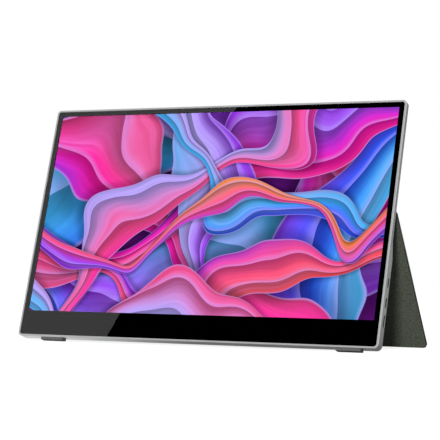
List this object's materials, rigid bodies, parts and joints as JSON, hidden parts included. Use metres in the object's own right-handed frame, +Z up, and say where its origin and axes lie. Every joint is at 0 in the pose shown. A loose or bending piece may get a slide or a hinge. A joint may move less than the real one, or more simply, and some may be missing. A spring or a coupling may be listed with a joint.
{
  "type": "portable monitor with cover",
  "caption": "Slim flat portable monitor in a satin metal housing, leaning back on the prop leg of its folding leather cover, with sockets and buttons in the side walls.",
  "frame": {"origin": "centre of the footprint, on the table", "axes": "+X to the right along the screen's width, seen from the front; -Y the way the screen faces; +Z up"},
  "size_m": [0.3584, 0.1319, 0.2198],
  "materials": {
    "satin_aluminium": "satin bead-blasted, bright chamfered lip",
    "button_aluminium": "satin",
    "tray_aluminium": "plain rolled sheet",
    "cover_glass": "polished, black border printed behind",
    "clear_layer": "optically clear",
    "lit_screen": "lit picture of flowing coloured ribbons",
    "black_tape": "black foam tape",
    "black_moulding": "fine moulded",
    "black_mesh": "fine woven dust mesh",
    "white_film": "matt optical film",
    "clear_acrylic": "clear moulded",
    "led_yellow": "diode strip",
    "green_board": "solder mask",
    "amber_flex": "polyimide flex",
    "dark_flex": "shielded flat cable",
    "black_chip": "moulded packages",
    "tinned_steel": "tinned sheet",
    "socket_steel": "drawn steel shell",
    "screw_steel": "zinc plated",
    "nickel": "nickel plated magnets",
    "heat_pad": "soft silicone pad",
    "red_wire": "insulated wire pair",
    "foot_rubber": "matt moulded rubber",
    "olive_leather": "pebbled dark olive-grey leather",
    "grey_microfibre": "short-pile microfibre",
    "fibre_board": "stiff pressed board"
  },
  "bodies": {
    "monitor": {"rear_housing": "satin_aluminium", "mid_frame": "black_moulding", "cover_glass": "cover_glass", "border_tape": "black_tape", "clear_adhesive": "clear_layer", "lcd_cell": "lit_screen", "diffuser_films": "white_film", "light_guide": "clear_acrylic", "reflector_sheet": "white_film", "led_bar": "led_yellow", "panel_tray": "tray_aluminium", "driver_board": "green_board", "panel_flexes": "amber_flex", "display_cable": "dark_flex", "main_board": "green_board", "board_chips": "black_chip", "shield_can": "tinned_steel", "heat_pad": "heat_pad", "usb_socket_upper": "socket_steel", "usb_socket_lower": "socket_steel", "hdmi_socket": "socket_steel", "socket_tongues": "black_moulding", "audio_jack": "black_moulding", "button_board": "green_board", "tact_switches": "black_chip", "button_flex": "amber_flex", "speaker_left": "black_moulding", "speaker_right": "black_moulding", "speaker_mesh": "black_mesh", "speaker_leads": "red_wire", "housing_screws": "screw_steel", "board_screws": "screw_steel", "chin_magnets": "nickel", "rubber_feet": "foot_rubber", "cover_tape": "black_tape", "mount_plate": "tinned_steel", "strip_leather": "olive_leather", "back_fold": "olive_leather"},
    "back_riser": {"riser_leather": "olive_leather", "riser_lining": "grey_microfibre", "top_fold": "olive_leather"},
    "top_spine": {"spine_leather": "olive_leather", "spine_lining": "grey_microfibre", "front_fold": "olive_leather"},
    "upper_board": {"upper_leather": "olive_leather", "upper_stiffener": "fibre_board", "upper_lining": "grey_microfibre", "upper_magnets": "nickel", "crease_fold": "olive_leather"},
    "crease_strip": {"crease_leather": "olive_leather", "crease_lining": "grey_microfibre", "leg_hinge_strip": "olive_leather"},
    "leg": {"leg_leather": "olive_leather", "leg_stiffener": "fibre_board", "leg_lining": "grey_microfibre", "leg_magnets": "nickel"},
    "power_key": {"power_button": "button_aluminium"},
    "rocker_key": {"menu_rocker": "button_aluminium"}
  },
  "joints": [
    {"name": "cover_flip", "type": "hinge", "parent": "monitor", "child": "back_riser", "pos_m": [0, 0.0026, 0.21309], "axis": [1, 0, 0], "range_deg": [0, 180], "deforming": ["back_fold"]},
    {"name": "top_bend", "type": "hinge", "parent": "back_riser", "child": "top_spine", "pos_m": [0, 0.0007, 0.20667], "axis": [1, 0, 0], "range_deg": [0, 90], "deforming": ["top_fold"]},
    {"name": "front_bend", "type": "hinge", "parent": "top_spine", "child": "upper_board", "pos_m": [0, -0.00223, 0.19679], "axis": [1, 0, 0], "range_deg": [0, 90], "deforming": ["front_fold"]},
    {"name": "crease_bend", "type": "hinge", "parent": "upper_board", "child": "crease_strip", "pos_m": [0, -0.02376, 0.12411], "axis": [1, 0, 0], "range_deg": [-51.6, 0], "deforming": ["crease_fold"]},
    {"name": "leg_fold", "type": "hinge", "parent": "crease_strip", "child": "leg", "pos_m": [0, -0.02002, 0.1188], "axis": [1, 0, 0], "range_deg": [-51.6, 0], "deforming": ["leg_hinge_strip"]},
    {"name": "power_press", "type": "slide", "parent": "monitor", "child": "power_key", "axis": [1, 0, 0], "range_m": [0, 0.0004], "stiffness_N_per_m": 800, "springref_m": -0.0006},
    {"name": "rocker_tilt", "type": "hinge", "parent": "monitor", "child": "rocker_key", "pos_m": [-0.17805, -0.04274, 0.05986], "axis": [0, 0.9588, -0.2841], "range_deg": [-3, 3], "stiffness_Nm_per_rad": 0.06}
  ],
  "couplings": [
    {"joint": "top_bend", "follows": "cover_flip", "ratio": 0.5},
    {"joint": "front_bend", "follows": "cover_flip", "ratio": 0.5},
    {"joint": "crease_bend", "follows": "cover_flip", "ratio": -0.28667}
  ]
}
